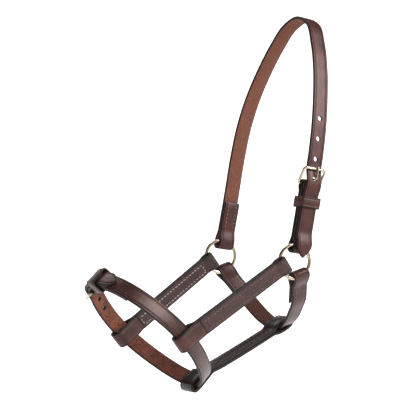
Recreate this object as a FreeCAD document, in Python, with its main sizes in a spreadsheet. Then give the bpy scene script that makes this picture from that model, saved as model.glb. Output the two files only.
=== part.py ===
import FreeCAD, Part
import math
import os

# A small leather headcollar, held up by its crown. Millimetres.
# +Z is up, the nose points to -X and the near (left) side is -Y.
# The origin is the underside of the crown strap, where it rests on the poll.

Vector = FreeCAD.Vector

DIMENSIONS = {
    "strap_width": 19.0,
    "leather": 3.2,
    "layer_gap": 0.3,
    "clearance": 0.3,
    "ring_radius": 18.0,
    "ring_wire": 3.8,
    "ring_turn": 18.0,
    "ring_back": 64.0,
    "ring_drop": 267.0,
    "near_ring_side": 50.8,
    "far_ring_side": 64.8,
    "crown_twist": 9.0,
    "crown_turn": 14.0,
    "crown_shift": 1.8,
    "throat_slope": 29.0,
    "throat_twist": 18.0,
    "throat_turn": 18.0,
    "throat_shift": -1.5,
    "throat_lean": 28.0,
    "throat_leg": 55.0,
    "throat_seam_start": 34.0,
    "nose_tilt": 42.7,
    "nose_forward": 212.0,
    "nose_side": 11.0,
    "nose_drop": 334.6,
    "nose_long": 81.0,
    "nose_short": 53.0,
    "nose_power": 1.84,
    "cheek_skew": 12.0,
    "near_cheek_angle": -93.5,
    "far_cheek_angle": 100.0,
    "near_cheek_shift": 4.2,
    "far_cheek_shift": 4.0,
    "buckle_wire": 3.0,
    "buckle_length": 17.0,
    "buckle_width": 27.0,
    "front_bar_slide": 1.4,
    "keeper_leather": 2.0,
    "keeper_height": 12.0,
    "hole_width": 5.0,
    "hole_pitch": 22.6,
    "thread": 0.8,
    "row_inset": 4.5,
    "tongue_wire": 2.2,
    "tongue_eye": 5.8,
    "tongue_eye_width": 3.8,
    "tongue_bore": 3.1,
    "tongue_slot": 6.0,
    "back_stay_gap": 6.2,
}

doc = FreeCAD.newDocument("headcollar")
sheet = doc.addObject("Spreadsheet::Sheet", "sheet")
for row, (alias, value) in enumerate(DIMENSIONS.items(), start=1):
    sheet.set("A%d" % row, alias)
    sheet.set("B%d" % row, str(value))
    sheet.setAlias("B%d" % row, alias)
doc.recompute()

WIDTH = sheet.strap_width
LEATHER = sheet.leather
CLEAR = sheet.clearance
WIRE = sheet.ring_wire / 2
BAR = sheet.buckle_wire / 2
EYE = WIRE + 2 * CLEAR + 0.1
UP = Vector(0, 0, 1)
ACROSS = Vector(0, 1, 0)
subparts = []


# ---- frames: an origin and two axes that a flat outline is drawn on ----

def tilted(degrees, turn=0):
    """A unit vector turned up from +X by degrees, and then round the vertical towards the near side by turn."""
    angle, swing = math.radians(degrees), math.radians(turn)
    return Vector(math.cos(angle) * math.cos(swing), -math.cos(angle) * math.sin(swing), math.sin(angle))


def unit(vector):
    return Vector(vector).normalize()


class Frame:
    def __init__(self, origin, along, side):
        self.origin = Vector(origin)
        self.along = unit(along)
        self.side = unit(Vector(side) - self.along * self.along.dot(Vector(side)))

    def at(self, x, y, lift=None):
        point = self.origin + self.along * x + self.side * y
        return point if lift is None else point + lift

    def placement(self):
        normal = self.along.cross(self.side)
        matrix = FreeCAD.Matrix(
            self.along.x, self.side.x, normal.x, self.origin.x,
            self.along.y, self.side.y, normal.y, self.origin.y,
            self.along.z, self.side.z, normal.z, self.origin.z,
            0, 0, 0, 1)
        return FreeCAD.Placement(matrix)


CROWN_LEAN = math.degrees(math.atan2(sheet.ring_back, sheet.ring_drop))
CROWN_ACROSS = tilted(-sheet.crown_twist, sheet.crown_turn)
CROWN = Frame(CROWN_ACROSS * sheet.crown_shift, (0, 1, 0), tilted(90 - CROWN_LEAN))

NEAR_RING = Vector(-sheet.ring_back, -sheet.near_ring_side, -sheet.ring_drop)
FAR_RING = Vector(-sheet.ring_back, sheet.far_ring_side, -sheet.ring_drop)
RING_AXIS = Vector(-math.sin(math.radians(sheet.ring_turn)), -math.cos(math.radians(sheet.ring_turn)), 0)

THROAT = Frame((NEAR_RING + FAR_RING) * 0.5, (0, 1, 0), tilted(-90 + sheet.throat_slope))
THROAT_ACROSS = tilted(sheet.throat_twist, sheet.throat_turn)

NOSE = Frame((-sheet.nose_forward, sheet.nose_side, -sheet.nose_drop), tilted(180 - sheet.nose_tilt), (0, 1, 0))
NOSE_ACROSS = unit(tilted(90 - sheet.nose_tilt) - NOSE.along * 0.2 + NOSE.side * 0.1)


# ---- outlines ----

def smooth(points, steps=5):
    """More points on a smooth curve through flat points, with slopes weighted to the nearer neighbour."""
    run = [Vector(p[0], p[1], 0) for p in points]
    slopes = []
    for i, here in enumerate(run):
        before = here - run[i - 1] if i else run[1] - here
        after = run[i + 1] - here if i + 1 < len(run) else before
        if not i:
            before = after
        weight = before.Length / (before.Length + after.Length)
        slopes.append(unit(before) * (1 - weight) + unit(after) * weight)
    curve = [run[0]]
    for start, end, out, into in zip(run, run[1:], slopes, slopes[1:]):
        span = (end - start).Length
        for step in range(1, steps + 1):
            u = step / steps
            curve.append(start * (2 * u ** 3 - 3 * u ** 2 + 1) + out * (span * (u ** 3 - 2 * u ** 2 + u))
                         + end * (3 * u ** 2 - 2 * u ** 3) + into * (span * (u ** 3 - u ** 2)))
    return curve


def normals(points):
    """Unit normals to the left of a run of flat points."""
    result = []
    for i in range(len(points)):
        along = unit(points[min(i + 1, len(points) - 1)] - points[max(i - 1, 0)])
        result.append(Vector(-along.y, along.x, 0))
    return result


def splines(points, span=20):
    """Smooth curves end to end through a run of points, each over the same number of steps."""
    curves = []
    for first in range(0, len(points) - 1, span):
        curve = Part.BSplineCurve()
        curve.interpolate(points[first:first + span + 1])
        curves.append(curve)
    return curves


def ribbon(points, thickness):
    """The outline of a strap seen edge on, that follows the points at mid thickness."""
    middle = smooth(points)
    offsets = [normal * (thickness / 2) for normal in normals(middle)]
    left = [p + o for p, o in zip(middle, offsets)]
    right = [p - o for p, o in zip(middle, offsets)][::-1]
    return (splines(left) + [Part.LineSegment(left[-1], right[0])]
            + splines(right) + [Part.LineSegment(right[-1], left[0])])


def polygon(points):
    corners = [Vector(x, y, 0) for x, y in points]
    return [Part.LineSegment(a, b) for a, b in zip(corners, corners[1:] + corners[:1])]


def fold_side(stations, sign):
    return [(x, y + sign * half) for x, y, half in stations]


def folded(stations):
    """The outline of a doubled strap: stations are (x, y, half thickness) and both ends are rounded."""
    upper = [Vector(x, y, 0) for x, y in fold_side(stations, 1)]
    lower = [Vector(x, y, 0) for x, y in fold_side(stations, -1)]
    edges = [Part.LineSegment(a, b) for a, b in zip(upper, upper[1:])]
    x, y, half = stations[-1]
    edges.append(Part.Arc(upper[-1], Vector(x + half, y, 0), lower[-1]))
    edges += [Part.LineSegment(a, b) for a, b in zip(lower, lower[1:])]
    x, y, half = stations[0]
    edges.append(Part.Arc(lower[0], Vector(x - half, y, 0), upper[0]))
    return edges


# ---- sub-parts ----

def keep(shape_object, label):
    shape_object.Label = label
    subparts.append(shape_object)
    return shape_object


def band(name, frame, outlines, across, width="sheet.strap_width", shift=0):
    """Outlines drawn in a frame and drawn out across the strap, half the width to each side."""
    sketch = doc.addObject("Sketcher::SketchObject", name + "_outline")
    for outline in outlines:
        sketch.addGeometry(outline, False)
    place = frame.placement()
    place.Base = place.Base + across * shift
    sketch.Placement = place
    solid = doc.addObject("Part::Extrusion", name)
    solid.Base = sketch
    solid.DirMode = "Custom"
    solid.Dir = across
    solid.Solid = True
    solid.setExpression("LengthFwd", width + " / 2")
    solid.setExpression("LengthRev", width + " / 2")
    return solid


def torus(name, centre, extra=0):
    ring = doc.addObject("Part::Torus", name)
    ring.setExpression("Radius1", "sheet.ring_radius")
    ring.setExpression("Radius2", "sheet.ring_wire / 2 + %s" % extra)
    ring.Placement = FreeCAD.Placement(centre, FreeCAD.Rotation(UP, RING_AXIS))
    return ring


def cut(name, base, tools):
    result = base
    for i, tool in enumerate(tools):
        step = doc.addObject("Part::Cut", "%s_cut_%d" % (name, i))
        step.Base = result
        step.Tool = tool
        result = step
    return result


def rod(name, start, end, diameter):
    """A round bar from start to end, with its diameter bound to a cell."""
    bar = doc.addObject("Part::Cylinder", name)
    bar.setExpression("Radius", diameter + " / 2")
    bar.Height = (end - start).Length
    bar.Placement = FreeCAD.Placement(start, FreeCAD.Rotation(UP, end - start))
    return bar


def ball(name, centre, diameter):
    joint = doc.addObject("Part::Sphere", name)
    joint.setExpression("Radius", diameter + " / 2")
    joint.Placement = FreeCAD.Placement(centre, FreeCAD.Rotation())
    return joint


def wire_run(name, points, diameter, closed=False):
    """Round wire along straight runs, with a ball at each corner."""
    pieces = []
    ends = points[1:] + (points[:1] if closed else [])
    for i, (start, end) in enumerate(zip(points, ends)):
        pieces.append(rod("%s_run_%d" % (name, i), start, end, diameter))
    for i, point in enumerate(points):
        pieces.append(ball("%s_corner_%d" % (name, i), point, diameter))
    fused = doc.addObject("Part::MultiFuse", name)
    fused.Shapes = pieces
    return fused


# ---- rings ----

near_ring = keep(torus("near_ring_wire", NEAR_RING), "near_ring")
far_ring = keep(torus("far_ring_wire", FAR_RING), "far_ring")


def ring_room(name, centre):
    return torus(name, centre, CLEAR)


# ---- crown: from the far ring over the poll to the billet on the near side ----

# The heights below are along the crown's own slope, and the sides are in Y.
RING_LEVEL = -math.hypot(sheet.ring_back, sheet.ring_drop)
EYE_TOP = RING_LEVEL + sheet.ring_radius
FOLD_RADIUS = EYE + LEATHER / 2
LAYER = (LEATHER + sheet.layer_gap) / 2
far_y = sheet.far_ring_side
near_y = -sheet.near_ring_side
turn_y = EYE_TOP - 4.0


def ring_turn(centre, turn, first, last):
    """A strap's path up one side of a ring's wire and down the other, as (side, level) points.
    The straight stretches end at first and last, and turn is the level of the bend's centre."""
    side = 1 if last[0] > centre else -1
    up = 1 if first[1] > turn else -1
    near_wire = [(centre - side * FOLD_RADIUS, turn + up * 5)]
    bend = [(centre - side * FOLD_RADIUS * math.cos(a), turn - up * FOLD_RADIUS * math.sin(a))
            for a in (0, math.pi / 4, math.pi / 2, 3 * math.pi / 4, math.pi)]
    away = [(centre + side * FOLD_RADIUS, turn + up * 5)]
    start = [first, (first[0], turn + up * 20), (first[0], turn + up * 17)]
    end = [(last[0], turn + up * 17), (last[0], turn + up * 20), last]
    return start + near_wire + bend + away + end


crown_path = ring_turn(far_y, turn_y, (far_y - LAYER, -212), (far_y + LAYER, -205)) + [
    (67.3, -158),
    (65.2, -121),
    (58.2, -87),
    (48.2, -59),
    (33.8, -29),
    (17.5, -6),
    (0, LEATHER / 2),
    (-16, -5.5),
    (-30, -31),
    (-40.3, -62),
    (-47.2, -95),
    (-51.8, -127),
    (-54, -158),
]
PIVOT_SIDE = near_y
PIVOT_LEVEL = RING_LEVEL + 84.5
FRONT_LEVEL = PIVOT_LEVEL + sheet.buckle_length
TONGUE_LEVEL = PIVOT_LEVEL + 5.6
TIP_LEVEL = RING_LEVEL + 4.6
UNDER_BAR = -54.6
OVER_CHAPE = near_y - 1.5 * LEATHER - 2 * CLEAR
OVER_FOLD = near_y - BAR - 1.5 * LEATHER - 3 * CLEAR
OVER_EYE = near_y - EYE - 1.5 * LEATHER - 2 * CLEAR
billet_path = [
    (UNDER_BAR, FRONT_LEVEL),
    (OVER_FOLD, PIVOT_LEVEL + 3.5),
    (OVER_FOLD, PIVOT_LEVEL - 4),
    (OVER_CHAPE - CLEAR, PIVOT_LEVEL - 11),
    (OVER_CHAPE, PIVOT_LEVEL - 16),
    (OVER_CHAPE, PIVOT_LEVEL - 19),
    (OVER_CHAPE, EYE_TOP + 18),
    (OVER_CHAPE, EYE_TOP + 14),
    (OVER_EYE, EYE_TOP + 3),
    (OVER_EYE, TIP_LEVEL),
]
crown_solid = band("crown", CROWN, [ribbon(crown_path + billet_path, LEATHER)], CROWN_ACROSS)


def side_at(path, level):
    """The side position of a path at a level, by straight lines between its points."""
    for (y0, z0), (y1, z1) in zip(path, path[1:]):
        if min(z0, z1) <= level <= max(z0, z1):
            return y0 + (y1 - y0) * (level - z0) / (z1 - z0)
    return path[-1][0]


near_path = crown_path[-4:] + billet_path
through = unit(CROWN_ACROSS.cross(CROWN.side)) * 8
CROWN_HOLES = 4
crown_tools = [ring_room("crown_ring_room", FAR_RING)]
for i in range(CROWN_HOLES):
    level = TONGUE_LEVEL + i * sheet.hole_pitch
    side = side_at(near_path, level)
    start, end = CROWN.at(side, level, through * -1), CROWN.at(side, level, through)
    crown_tools.append(rod("crown_hole_%d" % i, start, end, "sheet.hole_width"))


def tip_tools(name, frame, across):
    """Two corner blocks that leave a pointed tip. The frame's along is across the strap and its side is up it."""
    half = WIDTH / 2 + 2
    corners = [(0, 0), (half / 2, 4.5), (half, 14), (half + 4, 14), (half + 4, -3), (0, -3)]
    mirrored = [(-x, y) for x, y in corners]
    return [band("%s_tip_%d" % (name, i), frame, [polygon(points)], across)
            for i, points in enumerate((corners, mirrored))]


tip_frame = Frame(CROWN.at(OVER_EYE, TIP_LEVEL), CROWN_ACROSS, CROWN.side)
crown_tools += tip_tools("crown", tip_frame, ACROSS)
keep(cut("crown", crown_solid, crown_tools), "crown_strap")


# ---- doubled straps: an eye round a ring or bar, and a slot round another strap ----

def eye_hole(bend, end, point, half, side=0):
    """An eye with a round bend, straight sides up to end and a sharp point."""
    bottom = Vector(bend, side - half, 0)
    top = Vector(bend, side + half, 0)
    tip = bend - half if end > bend else bend + half
    return [
        Part.Arc(top, Vector(tip, side, 0), bottom),
        Part.LineSegment(bottom, Vector(end, side - half, 0)),
        Part.LineSegment(Vector(end, side - half, 0), Vector(point, side, 0)),
        Part.LineSegment(Vector(point, side, 0), Vector(end, side + half, 0)),
        Part.LineSegment(Vector(end, side + half, 0), top),
    ]


def seam(name, frame, outline, across, shift=0):
    """Two rows of thread through the layers of a strap, near its edges."""
    row_place = WIDTH / 2 - sheet.row_inset
    rows = []
    for i, place in enumerate((-row_place, row_place)):
        rows.append(band("%s_row_%d" % (name, i), frame, [outline], across, "sheet.thread", shift + place))
    both = doc.addObject("Part::Compound", name)
    both.Links = rows
    return keep(both, name)


def straight(x0, x1):
    """A straight row of stitches through two layers, standing a little proud of both faces."""
    return polygon([(x0, -STITCH_PROUD), (x1, -STITCH_PROUD), (x1, STITCH_PROUD), (x0, STITCH_PROUD)])


EYE_HALF = EYE + LEATHER
BEND_GAP = 8.7
RING_BEND = BEND_GAP + EYE_HALF
RING_EYE_END = sheet.ring_radius + 0.5
STITCH_PROUD = LEATHER + 0.3

# The chape joins the near ring to the crown buckle. Along is up the strap.
CHAPE = Frame(CROWN.at(near_y, RING_LEVEL), CROWN.side, (0, 1, 0))
BAR_HALF = BAR + CLEAR + LEATHER
chape_top = PIVOT_LEVEL - RING_LEVEL
chape_stations = [
    (RING_BEND, 0, EYE_HALF),
    (RING_EYE_END, 0, EYE_HALF),
    (RING_EYE_END + 9, 0, LEATHER),
    (chape_top - 9, 0, LEATHER),
    (chape_top - 1, 0, BAR_HALF),
    (chape_top, 0, BAR_HALF),
]
chape_solid = band("chape", CHAPE, [
    folded(chape_stations),
    eye_hole(RING_BEND, RING_EYE_END, RING_EYE_END + 6.5, EYE),
    eye_hole(chape_top, chape_top - 1, chape_top - 6, BAR + CLEAR),
], CROWN_ACROSS)
slot_outline = polygon([(chape_top - 4, -BAR_HALF - 1), (chape_top + 6, -BAR_HALF - 1),
                        (chape_top + 6, BAR_HALF + 1), (chape_top - 4, BAR_HALF + 1)])
chape_slot = band("chape_slot", CHAPE, [slot_outline], CROWN_ACROSS, "sheet.tongue_slot")
keep(cut("chape", chape_solid, [chape_slot, ring_room("chape_ring_room", NEAR_RING)]), "chape_strap")
seam("chape_thread", CHAPE, straight(RING_EYE_END + 10, chape_top - 27), CROWN_ACROSS)
seam("crown_end_thread", Frame(CROWN.at(far_y, RING_LEVEL), CROWN.side, (0, 1, 0)),
     straight(RING_EYE_END + 15, RING_EYE_END + 43), CROWN_ACROSS)


def keeper(name, frame, run, inner_side, outer_side, lean=0):
    """A leather loop round the layers of a strap. The frame's along is across the strap, run is down the strap,
    and lean is how far the layers shift sideways for each millimetre outwards."""
    half = WIDTH / 2 + 2 * CLEAR
    wall = sheet.keeper_leather
    inside = [(-half, inner_side), (half, inner_side), (half, outer_side), (-half, outer_side)]
    outside = [(x + math.copysign(wall, x), y + (wall if y > 0 else -wall)) for x, y in inside]
    outlines = [polygon([(x + lean * y, y) for x, y in corners]) for corners in (outside, inside)]
    return keep(band(name + "_loop", frame, outlines, run, "sheet.keeper_height"), name)


keeper_frame = Frame(CROWN.at(near_y, PIVOT_LEVEL - 20), CROWN_ACROSS, (0, -1, 0))
keeper("crown_keeper", keeper_frame, CROWN.side, -LEATHER - CLEAR, near_y - OVER_CHAPE + LEATHER / 2 + CLEAR,
       -CROWN_ACROSS.y)


def buckle(name, frame, pivot, front, across, slide=0):
    """A four-sided wire loop. Pivot and front are flat points in the frame. The front bar slides sideways."""
    reach = across * (sheet.buckle_width / 2)
    first, last = frame.at(*pivot), frame.at(*front, across * -slide)
    return keep(wire_run(name + "_wire", [first - reach, first + reach, last + reach, last - reach],
                         "sheet.buckle_wire", True), name)


def tongue(name, frame, pivot, path, across):
    """A wire tongue with an eye round the pivot bar, and a path out through the hole to rest on the frame."""
    half = across * (sheet.tongue_eye_width / 2)
    outer = rod(name + "_eye", frame.at(*pivot, half * -1), frame.at(*pivot, half), "sheet.tongue_eye")
    bore = rod(name + "_bore", frame.at(*pivot, half * -2), frame.at(*pivot, half * 2), "sheet.tongue_bore")
    run = wire_run(name + "_wire", [frame.at(*point) for point in path], "sheet.tongue_wire")
    fused = doc.addObject("Part::Fuse", name + "_solid")
    fused.Base = outer
    fused.Tool = run
    return keep(cut(name, fused, [bore]), name)


front_bar_side = UNDER_BAR - LEATHER / 2 - 2 * CLEAR - BAR
pivot_point = (PIVOT_SIDE, PIVOT_LEVEL)
buckle("crown_buckle", CROWN, pivot_point, (front_bar_side, FRONT_LEVEL), CROWN_ACROSS, sheet.front_bar_slide)
over_bar = front_bar_side - BAR - sheet.tongue_wire / 2 - 0.1
tongue("crown_tongue", CROWN, pivot_point, [
    (PIVOT_SIDE - 2.0, PIVOT_LEVEL + 1.6),
    (OVER_FOLD + 3.0, TONGUE_LEVEL - 0.7),
    (OVER_FOLD - 2.4, TONGUE_LEVEL + 0.5),
    (over_bar, TONGUE_LEVEL + 5),
    (over_bar, FRONT_LEVEL + 3),
], CROWN_ACROSS)


# ---- noseband: a flat loop, drawn in its own plane ----

def nose_point(degrees, out=0.0):
    """A flat point on the noseband: 0 is the front, -90 the near side, 180 the chin. out is measured outwards."""
    angle = math.radians(degrees)
    power = 2 / sheet.nose_power

    def on_curve(a):
        c, s = math.cos(a), math.sin(a)
        return Vector(math.copysign(abs(c) ** power, c) * sheet.nose_long,
                      math.copysign(abs(s) ** power, s) * sheet.nose_short, 0)

    along = unit(on_curve(angle + 0.001) - on_curve(angle - 0.001))
    point = on_curve(angle) + Vector(along.y, -along.x, 0) * out
    return point.x, point.y


NOSE_PIVOT = (27, -1.7)
NOSE_FRONT = (44, 4.6)
NOSE_TONGUE = 33.0
CHIN_OUT = 3.5
inner_layer = [(d, -3.5) for d in (-36, -27, -18, -9, 0, 7, 13)]
main_layer = [(d, 0) for d in (13, 7, 0, -9, -18, -27, -36, -50, -65, -80, -95, -110, -125)]
main_layer += [(-140, 1), (-155, 2.6), (-170, CHIN_OUT)]
round_far = [(175, CHIN_OUT), (160, 2.6), (145, 1)] + [(d, 0) for d in (130, 115, 100, 86, 74, 64)]
nose_stations = inner_layer + [
    (20, -4.4), (25, -5.4), (29, -4.9), (30.9, -1.7), (29, 1.5), (25, 2.0), (20, 1.0),
] + main_layer + round_far + [
    (54, 0.2), (44, 0.8), (37, 3.4), (32, 5.6), (24, 6.0), (15, 4.5), (8, 3.8), (0, 3.8), (-9, 3.8), (-19, 4.2),
]
nose_path = [nose_point(*station) for station in nose_stations]
nose_solid = band("nose", NOSE, [ribbon(nose_path, LEATHER)], NOSE_ACROSS)
nose_tools = []
for i, (degrees, out) in enumerate(((NOSE_TONGUE, 5.0), (51.5, 0.5), (64.5, 0))):
    inner, outer = nose_point(degrees, out - 5), nose_point(degrees, out + 5)
    nose_tools.append(rod("nose_hole_%d" % i, NOSE.at(*inner), NOSE.at(*outer), "sheet.hole_width"))
tip_x, tip_y = nose_point(-19, 4.4)
back_x, back_y = nose_point(-8, 3.9)
tip_up = NOSE.along * (back_x - tip_x) + NOSE.side * (back_y - tip_y)
nose_out = unit(tip_up.cross(NOSE_ACROSS))
slot_stations = ((21, -7.5), (33.5, -7.5), (33.5, 2), (31.5, 3.8), (27, 4.0), (21, 3.9))
slot_corners = [nose_point(*station) for station in slot_stations]
nose_slot = band("nose_slot", NOSE, [polygon(slot_corners)], NOSE_ACROSS, "sheet.tongue_slot")
nose_tip = tip_tools("nose", Frame(NOSE.at(tip_x, tip_y), NOSE_ACROSS, tip_up), nose_out)
for tool in nose_tip:
    tool.setExpression("LengthFwd", "sheet.leather * 0.75")
    tool.setExpression("LengthRev", "sheet.leather * 0.75")
keep(cut("nose", nose_solid, nose_tools + [nose_slot] + nose_tip), "noseband")

nose_seam = [nose_point(degrees, -LAYER) for degrees in (-33, -26, -19, -12, -5)]
seam("noseband_thread", NOSE, ribbon(nose_seam, 2 * STITCH_PROUD), NOSE_ACROSS)

nose_pivot = nose_point(*NOSE_PIVOT)
nose_front = nose_point(*NOSE_FRONT)
buckle("noseband_buckle", NOSE, nose_pivot, nose_front, NOSE_ACROSS)
tongue("noseband_tongue", NOSE, nose_pivot, [
    nose_point(29.0, 0.4),
    nose_point(NOSE_TONGUE - 0.6, 3.2),
    nose_point(NOSE_TONGUE + 0.2, 7.7),
    nose_point(38, 8.1),
    nose_point(46.5, 8.0),
], NOSE_ACROSS)

KEEPER_INSIDE, KEEPER_OUTSIDE = -6.5, 6.9
keeper_x, keeper_y = nose_point(6)
ahead_x, ahead_y = nose_point(9)
keeper_out = Vector(ahead_y - keeper_y, keeper_x - ahead_x, 0).normalize()
nose_outward = NOSE.along * keeper_out.x + NOSE.side * keeper_out.y
nose_keeper_frame = Frame(NOSE.at(keeper_x, keeper_y), NOSE_ACROSS, nose_outward)
keeper_along = unit(NOSE.along * (ahead_x - keeper_x) + NOSE.side * (ahead_y - keeper_y))
keeper("noseband_keeper", nose_keeper_frame, keeper_along, KEEPER_INSIDE, KEEPER_OUTSIDE,
       NOSE_ACROSS.dot(nose_outward))


# ---- cheekpieces ----

CHEEK_REACH = 11.6


def cheek(name, ring, degrees, shift):
    """A doubled strap from a ring to the noseband at an angle. Along is down the strap, side is outwards, and
    shift is how far the strap sits above the ring's centre."""
    end = NOSE.at(*nose_point(degrees))
    across = Vector(0, 0, 0)
    for _ in range(3):
        frame = Frame(ring, end - across * shift - ring, (0, math.copysign(1, degrees), 0))
        square = frame.along.cross(frame.side)
        square = square if square.z > 0 else square * -1
        skew = math.radians(sheet.cheek_skew)
        across = unit(square * math.cos(skew) + frame.along * math.sin(skew))
    length = (end - across * shift - ring).Length
    run = NOSE.at(*nose_point(degrees + 2)) - NOSE.at(*nose_point(degrees - 2))
    line = run.cross(NOSE_ACROSS).cross(square)
    slope = line.dot(frame.side) / line.dot(frame.along)
    reach = CHEEK_REACH
    gap = LEATHER / 2 + 5 * CLEAR
    loop = gap + LEATHER
    stations = [
        (RING_BEND, 0, EYE_HALF),
        (RING_EYE_END, 0, EYE_HALF),
        (RING_EYE_END + 9, 0, LEATHER),
        (length - reach - 7, 0, LEATHER),
        (length - reach, -slope * reach, loop),
        (length + reach - gap, slope * (reach - gap), loop),
    ]
    slot = tilted_slot(length, reach, gap, slope)
    solid = band(name + "_solid", frame, [
        folded(stations),
        eye_hole(RING_BEND, RING_EYE_END, RING_EYE_END + 6.5, EYE),
        slot,
    ], across, shift=shift)
    keep(cut(name, solid, [ring_room(name + "_ring_room", ring)]), name)
    seam(name + "_thread", frame, straight(RING_EYE_END + 10, length - reach - 8), across, shift)


def tilted_slot(length, reach, gap, slope):
    """The noseband's slot where it slopes outwards along the cheekpiece."""
    near_end = (length - reach, -slope * reach)
    far_end = (length + reach - gap, slope * (reach - gap))
    top = Vector(far_end[0], far_end[1] + gap, 0)
    bottom = Vector(far_end[0], far_end[1] - gap, 0)
    start = Vector(length - reach - 4, -slope * reach, 0)
    upper = Vector(near_end[0], near_end[1] + gap, 0)
    lower = Vector(near_end[0], near_end[1] - gap, 0)
    return [
        Part.Arc(top, Vector(far_end[0] + gap, far_end[1], 0), bottom),
        Part.LineSegment(bottom, lower),
        Part.LineSegment(lower, start),
        Part.LineSegment(start, upper),
        Part.LineSegment(upper, top),
    ]


cheek("near_cheek", NEAR_RING, sheet.near_cheek_angle, sheet.near_cheek_shift)
cheek("far_cheek", FAR_RING, sheet.far_cheek_angle, sheet.far_cheek_shift)


# ---- throat strap: a U under the jaw, drawn in a plane that slopes back ----

half_span = (sheet.near_ring_side + sheet.far_ring_side) / 2
throat_bend = BEND_GAP + 1 + EYE_HALF


def swung(points, centre, degrees):
    """Flat points turned about the lowest wire of a ring."""
    angle = math.radians(degrees)
    low = sheet.ring_radius
    return [(centre + (x - centre) * math.cos(angle) + (y - low) * math.sin(angle),
             low + (y - low) * math.cos(angle) - (x - centre) * math.sin(angle)) for x, y in points]


def throat_leg(centre, first_side):
    """The doubled end of the throat strap, round a ring's wire."""
    first = (centre + first_side * LAYER, sheet.throat_leg)
    last = (centre - first_side * LAYER, sheet.throat_leg)
    return ring_turn(centre, throat_bend, first, last)


throat_ends = (
    ("near_throat_thread", -half_span, sheet.throat_lean),
    ("far_throat_thread", half_span, -sheet.throat_lean),
)
near_leg, far_leg = [swung(throat_leg(centre, 1), centre, lean) for _, centre, lean in throat_ends]
JAW = (4, 87)
throat_path = near_leg + [
    (-32.5, 62.5),
    (-23.5, 72.5),
    (-14.5, 80.5),
    (-6, 85.6),
    JAW,
    (14, 85.6),
    (22, 80.5),
    (29.5, 71.5),
    (35.5, 61.5),
] + far_leg
throat_solid = band("throat", THROAT, [ribbon(throat_path, LEATHER)], THROAT_ACROSS, shift=sheet.throat_shift)
throat_tools = [ring_room("throat_near_room", NEAR_RING), ring_room("throat_far_room", FAR_RING)]
keep(cut("throat", throat_solid, throat_tools), "throat_strap")
seam_start, seam_end = sheet.throat_seam_start, sheet.throat_leg - 2
for name, centre, lean in throat_ends:
    row = [(centre + side * STITCH_PROUD, level)
           for side, level in ((-1, seam_start), (1, seam_start), (1, seam_end), (-1, seam_end))]
    seam(name, THROAT, polygon(swung(row, centre, lean)), THROAT_ACROSS, sheet.throat_shift)


# ---- back-stay: doubled, from the chin to the throat strap ----

chin = NOSE.at(*nose_point(180, CHIN_OUT))
jaw = THROAT.at(*JAW, THROAT_ACROSS * sheet.throat_shift)
flat_jaw = Vector(jaw.x, chin.y, jaw.z)
BACK_STAY = Frame(chin, flat_jaw - chin, (0, 0, 1))
stay_length = (flat_jaw - chin).Length
stay_gap = sheet.back_stay_gap / 2
stay_half = stay_gap + LEATHER
chin_angle = math.atan2(NOSE_ACROSS.dot(BACK_STAY.side), NOSE_ACROSS.dot(BACK_STAY.along))
chin_slope = math.tan(chin_angle)
slot_reach = 10.8
jaw_rise = 0.8

chin_front = (-9.3, 0.6 - 9 * chin_slope)
chin_back = (8.7, 0.6 + 9 * chin_slope)
stay_stations = [
    (chin_front[0], chin_front[1], stay_half),
    (chin_back[0], chin_back[1], stay_half),
    (20, 3.4, LEATHER),
    (34, 2.0, LEATHER),
    (stay_length - slot_reach - 8, 0, LEATHER),
    (stay_length - slot_reach, jaw_rise, stay_half),
    (stay_length + slot_reach - stay_gap, jaw_rise, stay_half),
]
front_end = Vector(chin_front[0], chin_front[1], 0)
back_end = Vector(chin_back[0], chin_back[1], 0)
slot_point = Vector(15.5, 4.2, 0)
half_slot = Vector(0, stay_gap, 0)
chin_slot = [
    Part.Arc(front_end + half_slot, front_end - Vector(stay_gap, 0, 0), front_end - half_slot),
    Part.LineSegment(front_end - half_slot, back_end - half_slot),
    Part.LineSegment(back_end - half_slot, slot_point),
    Part.LineSegment(slot_point, back_end + half_slot),
    Part.LineSegment(back_end + half_slot, front_end + half_slot),
]
jaw_start = stay_length - slot_reach
jaw_slot = eye_hole(stay_length + slot_reach - stay_gap, jaw_start, jaw_start - 5, stay_gap, jaw_rise)
stay = band("back_stay_solid", BACK_STAY, [folded(stay_stations), chin_slot, jaw_slot], ACROSS)
keep(stay, "back_stay")
seam("back_stay_thread", BACK_STAY, straight(36, stay_length - slot_reach - 9), ACROSS)


# ---- check every object, then write one file for each sub-part ----

doc.recompute()
for item in doc.Objects:
    if "Invalid" in item.State or "Error" in item.State:
        raise RuntimeError("%s did not build: %s" % (item.Name, item.State))
os.makedirs("parts", exist_ok=True)
for item in subparts:
    shape = item.Shape
    if shape.isNull() or not shape.isValid() or not shape.Solids:
        raise RuntimeError("%s has no valid solid" % item.Label)
    shape.exportStep("parts/%s.step" % item.Label)
    print("%-20s solids %2d  volume %9.1f" % (item.Label, len(shape.Solids), shape.Volume))
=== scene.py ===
import math
import random

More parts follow.
